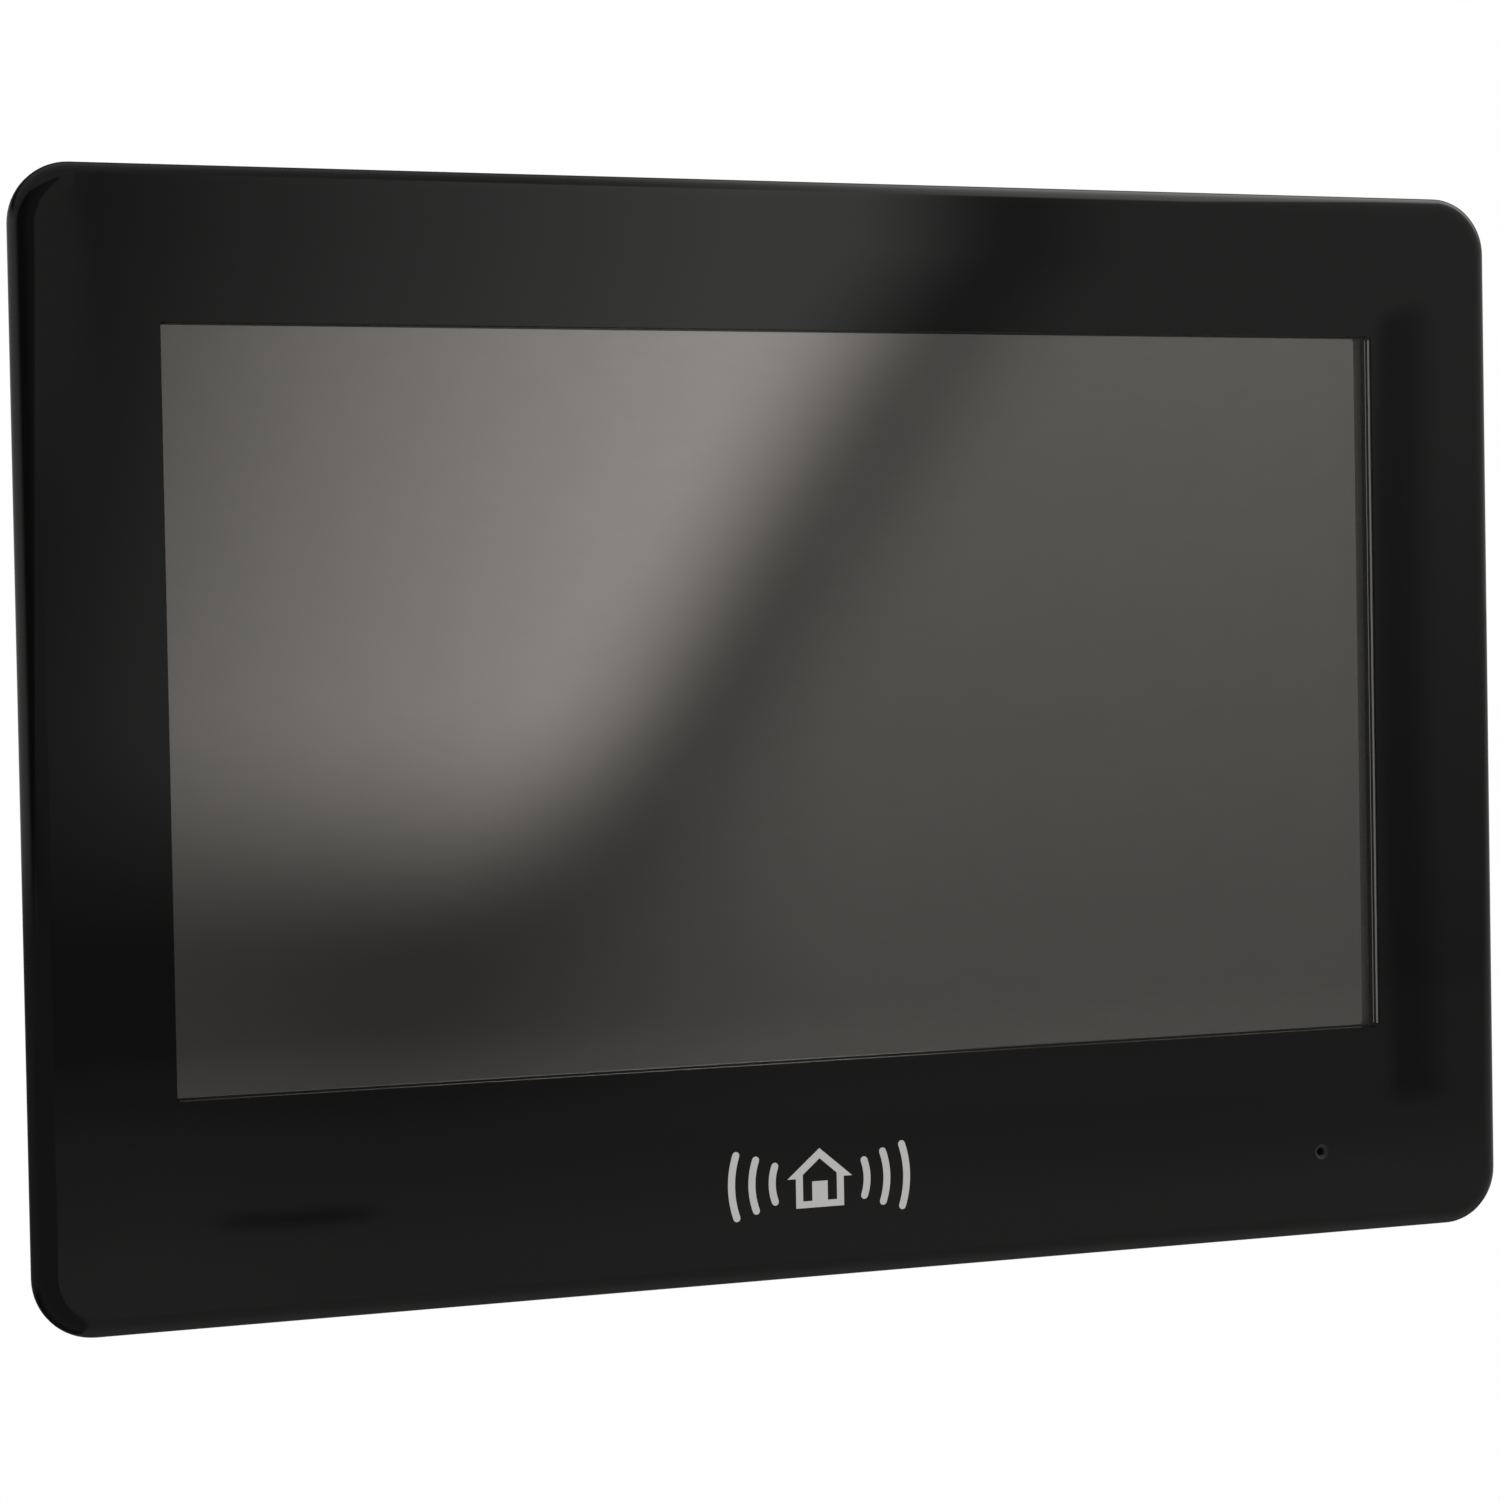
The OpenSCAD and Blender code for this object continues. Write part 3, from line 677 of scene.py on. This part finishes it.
def build_display():
    """The panel: its live area, a darker border, and a slim edge round the glass in the border's finish."""
    bm = bmesh.new()
    lo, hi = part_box("lcd_panel")
    front = DISPLAY
    back = (hi.y - FRONT_Y) * 1000
    width, height = (hi.x - lo.x) * 1000, (hi.z - lo.z) * 1000
    rings = loft(
        bm,
        [
            rounded_box_ring(width - 0.2, height - 0.2, 0.3, front, WINDOW_AT, 3),
            rounded_box_ring(width, height, 0.4, front + 0.1, WINDOW_AT, 3),
            rounded_box_ring(width, height, 0.4, back, WINDOW_AT, 3),
        ],
        finish=1,
    )
    live = [
        bm.verts.new(front_point(x, front, z))
        for x, z in (LIVE_HIGH, (LIVE_LOW[0], LIVE_HIGH[1]), LIVE_LOW, (LIVE_HIGH[0], LIVE_LOW[1]))
    ]
    fill(bm, rings[0], live, finish=1)
    bm.faces.new(live)
    fill(bm, rings[-1], finish=1)
    return add_piece(
        "display", bm, [FINISH["display_face"], FINISH["display_border"]], "monitor",
        ["lcd_panel"],
    )


def arc_band(cx, cz, inner, outer, start, end, steps=14):
    """The outline of a curved bar, with round ends, in plan millimetres."""
    points = []
    middle, half = (inner + outer) / 2, (outer - inner) / 2
    for radius, order in ((outer, range(steps + 1)), (inner, range(steps, -1, -1))):
        for i in order:
            a = math.radians(start + (end - start) * i / steps)
            points.append((cx + radius * math.cos(a), cz + radius * math.sin(a)))
        a = math.radians(end if radius == outer else start)
        tip = (cx + middle * math.cos(a), cz + middle * math.sin(a))
        turn = a if radius == outer else a + math.pi
        for k in range(1, 5):
            b = turn + math.pi * k / 5
            points.append((tip[0] + half * math.cos(b), tip[1] + half * math.sin(b)))
    return points


def build_mark():
    """A plain generic pictogram, a house with sound to both sides, printed under the window; its print also
    has emission that paints light on it.
    """
    bm = bmesh.new()
    x, z = MARK

    def plate(outline, *holes):
        loops = []
        for shape in (outline, *holes):
            made = loft(
                bm,
                [[front_point(px, y, pz) for px, pz in shape]
                 for y in (MARK_BACK, PROUD + 0.004)],
            )
            loops.append(made)
        fill(bm, *[made[0] for made in loops])
        fill(bm, *[made[-1] for made in loops])

    plate(
        [(x - 4.2, z), (x, z + 3.5), (x + 4.2, z), (x + 3.1, z),
         (x + 3.1, z - 3.5), (x - 3.1, z - 3.5), (x - 3.1, z)],
        [(x - 2.2, z + 0.45), (x, z + 2.3), (x + 2.2, z + 0.45), (x + 2.2, z - 2.7),
         (x + 1.0, z - 2.7), (x + 1.0, z - 0.4), (x - 1.0, z - 0.4), (x - 1.0, z - 2.7),
         (x - 2.2, z - 2.7)],
    )
    for side in (0, 180):
        for radius, spread in ((5.7, 20), (8.3, 20), (10.9, 19)):
            plate(arc_band(x, z - 0.4, radius, radius + 0.9, side - spread, side + spread))
    return add_piece("printed_mark", bm, [FINISH["print_grey_painted_light"]], "monitor")


# ---- The studio ----------------------------------------------------------


def build_studio_light():
    """White to the camera. In reflections it is a softbox with a diagonal edge, cards and a floor.

    card_x and card_z are where a direction shows, in millimetres, in the front seen as a mirror
    from the photographer's place."""
    world = bpy.data.worlds.new("studio")
    scene.world = world
    world.use_nodes = True
    net = Net(world.node_tree)
    dx, dy, dz = net.split(net.add("TexCoord", out="Generated"))

    def total(*terms):
        result = terms[0]
        for term in terms[1:]:
            result = net.calc("ADD", result, term)
        return result

    def product(*factors):
        result = factors[0]
        for factor in factors[1:]:
            result = net.calc("MULTIPLY", result, factor)
        return result

    def ramp(value, start, end, low, high):
        return net.add("MapRange", {0: value, 1: start, 2: end, 3: low, 4: high})

    # how far a direction's slope moves what shows in the front, and where no slope shows
    x_scale, x_start = 453.8, -201.3
    z_scale, z_start = 452.7, 12.6
    degrees = 180 / math.pi
    towards = product(dy, -1.0)
    level = net.calc("SQRT", net.calc("SUBTRACT", 1.0001, product(dx, dx)))
    card_x = total(product(net.calc("DIVIDE", dx, level), x_scale), x_start)
    slope = net.calc("DIVIDE", dz, net.calc("MAXIMUM", towards, 0.02))
    card_z = net.calc("MINIMUM", total(product(slope, z_scale), z_start), 60.0)
    turn = product(net.calc("ARCTAN2", dx, towards), degrees)
    tilt = product(net.calc("ARCTAN2", dz, towards), degrees)
    rise = product(net.calc("ARCSINE", dz), degrees)

    # the softbox, with its diagonal edge, and the fill beyond that edge
    across = total(product(total(card_x, -9.5), 0.823), product(total(card_z, -46.0), -0.568))
    key_shape = product(net.step(across, 9.0, -14.0), net.step(card_z, -25.0, 6.0))
    slant = total(card_x, product(total(card_z, -46.0), -0.28))
    key = net.calc("MAXIMUM", ramp(slant, -110.0, -12.0, 0.0, 0.978), 0.2)
    key = total(key, product(net.step(card_x, -86.0, -93.0, 0.0, 0.1), net.step(card_z, 20.0, 45.0)))
    fill_shape = net.step(product(across, net.step(card_z, -40.0, 10.0, 0.5, 1.0)), -5.0, 24.0)
    fill_light = product(
        fill_shape, ramp(card_z, -34.0, 50.0, 0.135, 0.3), net.step(card_z, -50.0, -34.0, 0.2, 1.0)
    )
    # the room and the table
    base = total(
        net.step(card_x, -44.0, -90.0, 0.082, 0.112),
        net.step(card_z, -33.0, -38.0, 0.0, 0.05), net.step(card_z, -38.0, -46.0, 0.0, 0.075),
        net.step(card_z, -46.0, -62.0, 0.0, 0.09),
    )
    light = net.blend(key_shape, total(base, fill_light), key)
    # a dark card at the right and a dark strip on the table at the left
    card = product(
        net.step(card_x, 78.6, 80.2), net.step(card_x, 92.0, 84.0),
        net.step(card_z, -50.5, -47.5), net.step(card_z, 53.0, 50.0),
    )
    strip = product(
        net.step(net.calc("ABSOLUTE", total(card_z, 55.3)), 1.1, 0.3),
        net.step(card_x, -79.0, -71.0), net.step(card_x, -54.0, -62.0),
    )
    light = product(light, net.blend(card, 1.0, 0.57), net.blend(strip, 1.0, 0.2))
    light = product(light, net.step(turn, 120.0, 165.0, 1.0, 0.4))
    # at the left, a dark gap beside the front and a bright wall behind it, above a dim table
    over_table = net.step(rise, -4.4, -2.2)
    gap_at = total(turn, product(net.calc("MINIMUM", rise, 5.5), -8.0))
    gap_shape = product(net.step(gap_at, -35.0, -41.0), net.step(rise, 50.0, 40.0))
    left = net.blend(gap_shape, light, net.step(turn, -60.0, 0.0, 0.06, 0.13))
    wall = net.step(turn, -112.0, -160.0, 0.47, 0.33)
    left = net.blend(net.step(turn, -72.0, -102.0), left, wall)
    table = product(net.step(turn, 12.0, 2.0, 0.29, 0.15), net.step(turn, -100.0, -150.0, 1.0, 0.55))
    left = net.blend(over_table, table, left)
    light = net.blend(net.step(turn, 8.0, 2.0), light, left)
    # below, the table; above, a ceiling light that starts further up towards the right
    under = product(table, net.step(tilt, -80.0, -140.0, 1.0, 0.32))
    light = net.blend(net.step(rise, -12.0, -26.0), light, under)
    start = total(tilt, ramp(dx, 0.488, 0.526, -64.0, -99.0))
    above_shape = product(net.step(start, -6.0, 6.0), net.step(rise, 8.0, 24.0))
    above = product(net.step(dx, 0.33, 0.49, 0.27, 1.2), net.step(tilt, 122.0, 150.0, 1.0, 0.12))
    light = net.blend(above_shape, light, above)

    rays = net.add("LightPath").node
    colour = net.tint(
        rays.outputs["Is Camera Ray"],
        net.add("CombineColor", {0: light, 1: net.calc("MULTIPLY", light, 0.985),
                                 2: net.calc("MULTIPLY", light, 0.965)}),
        (1.0, 1.0, 1.0, 1.0),
    )
    net.finish(net.add("Background", {"Color": colour, "Strength": 1.0}), "World")


def add_softbox(name, place, power, size, target=(0.0, 0.0, 0.0)):
    data = bpy.data.lights.new(name, "AREA")
    data.shape = "RECTANGLE"
    data.size, data.size_y = size
    data.energy = power
    light = bpy.data.objects.new(name, data)
    light.location = place
    light.rotation_euler = (Vector(target) - Vector(place)).to_track_quat("-Z", "Y").to_euler()
    light.visible_camera = False
    light.visible_glossy = False
    scene.collection.objects.link(light)
    return light


def build_floor():
    """A pale round floor under the monitor that fades out before it meets the backdrop."""
    bm = bmesh.new()
    bmesh.ops.create_grid(bm, x_segments=24, y_segments=24, size=0.45)
    mesh = bpy.data.meshes.new("floor")
    bm.to_mesh(mesh)
    bm.free()
    floor = bpy.data.objects.new("floor", mesh)
    floor.location = (0.0, 0.0, -0.2)
    scene.collection.objects.link(floor)
    material, net = new_finish("floor_pale")
    place = net.add("TexCoord", out="Object")
    away = net.add("VectorMath", {0: place}, out="Value", operation="LENGTH")
    mottle = net.noise(place, 90.0, 4.0)
    paint = net.add(
        "BsdfPrincipled",
        {"Base Color": net.tint(mottle, grey(0.86), grey(0.9)), "Roughness": 0.7,
         "Emission Color": (1, 1, 1, 1), "Emission Strength": 0.45},
    )
    gone = net.add("BsdfTransparent")
    net.finish(net.add("MixShader", {0: net.step(away, 0.43, 0.16), 1: gone, 2: paint}))
    mesh.materials.append(material)
    floor.visible_glossy = False
    floor.visible_diffuse = False
    floor.visible_shadow = False


LENS, SENSOR = 99.6234, 36.0  # millimetres
CAMERA_AT = (-0.199254, -0.474236, 0.012573)
CAMERA_RIGHT = (0.91950042, -0.39268073, -0.01791122)
CAMERA_UP = (0.02819719, 0.02044149, 0.99939335)


def build_camera():
    """The photographer's place: a long lens to the left of the monitor, a little above its middle."""
    data = bpy.data.cameras.new("camera")
    data.lens = LENS
    data.sensor_width = SENSOR
    data.clip_start, data.clip_end = 0.01, 50.0
    camera = bpy.data.objects.new("camera", data)
    scene.collection.objects.link(camera)
    right, up = Vector(CAMERA_RIGHT), Vector(CAMERA_UP)
    turn = Matrix((right, up, right.cross(up))).transposed().to_4x4()
    camera.matrix_world = Matrix.Translation(CAMERA_AT) @ turn
    scene.camera = camera


# ---- Put together --------------------------------------------------------

FINISH = make_finishes()

SLOTS = {
    "display_gasket": "foam", "backlight": "light_guide", "lcd_tray": "tray_steel",
    "lcd_flex": "flex_film", "support_plate": "tray_steel", "frame_screws": "screw_steel",
    "main_board": "circuit_board", "board_screws": "screw_steel", "main_processor": "chip_epoxy",
    "memory_chips": "chip_epoxy", "shield_can": "tin_plate", "power_transformer": "chip_epoxy",
    "capacitors": "part_sleeve", "inductors": "chip_epoxy", "flex_connector": "connector_ivory",
    "jack_contacts": "contact_gold", "header_pins": "tin_plate", "card_socket": "tin_plate",
    "reset_switch": "chip_epoxy", "speaker_frame": "chip_epoxy", "speaker_cone": "cone_paper",
    "speaker_magnet": "magnet_steel", "speaker_gasket": "foam", "microphone": "tin_plate",
    "mic_boot": "boot_rubber",
}
for node, slot in SLOTS.items():
    NODES[node].data.materials.clear()
    NODES[node].data.materials.append(FINISH[slot])

build_camera()
build_studio_light()
add_softbox("softbox_back_left", (0.55, 0.75, 0.62), 9.0, (0.5, 0.35))
add_softbox("softbox_back_right", (-0.6, 0.8, 0.5), 6.0, (0.4, 0.4))
build_floor()

build_front_cover()
build_window()
build_bond_painted_light()
build_display()
build_mark()
refine("rear_cover", "monitor", "housing_black", 0.3, 3, at_slots)
refine("wall_bracket", "bracket", "bracket_steel", 0.22, 2)
refine("cover_screws", "monitor", "black_screw", 0.12, 2)
refine("rating_label", "monitor", "label_paper", 0.03, 1)
refine("ethernet_jack", "monitor", "tin_plate", 0.2, 2)
refine("terminal_header", "monitor", "terminal_green", 0.15, 2)
refine("terminal_plug", "terminal_plug", "terminal_green", 0.2, 2)
refine("clamp_screws", "terminal_plug", "screw_steel", 0.08, 1)
refine("memory_card", "memory_card", "card_black", 0.12, 2)
refine("reset_button", "reset_button", "button_cap", 0.15, 2)
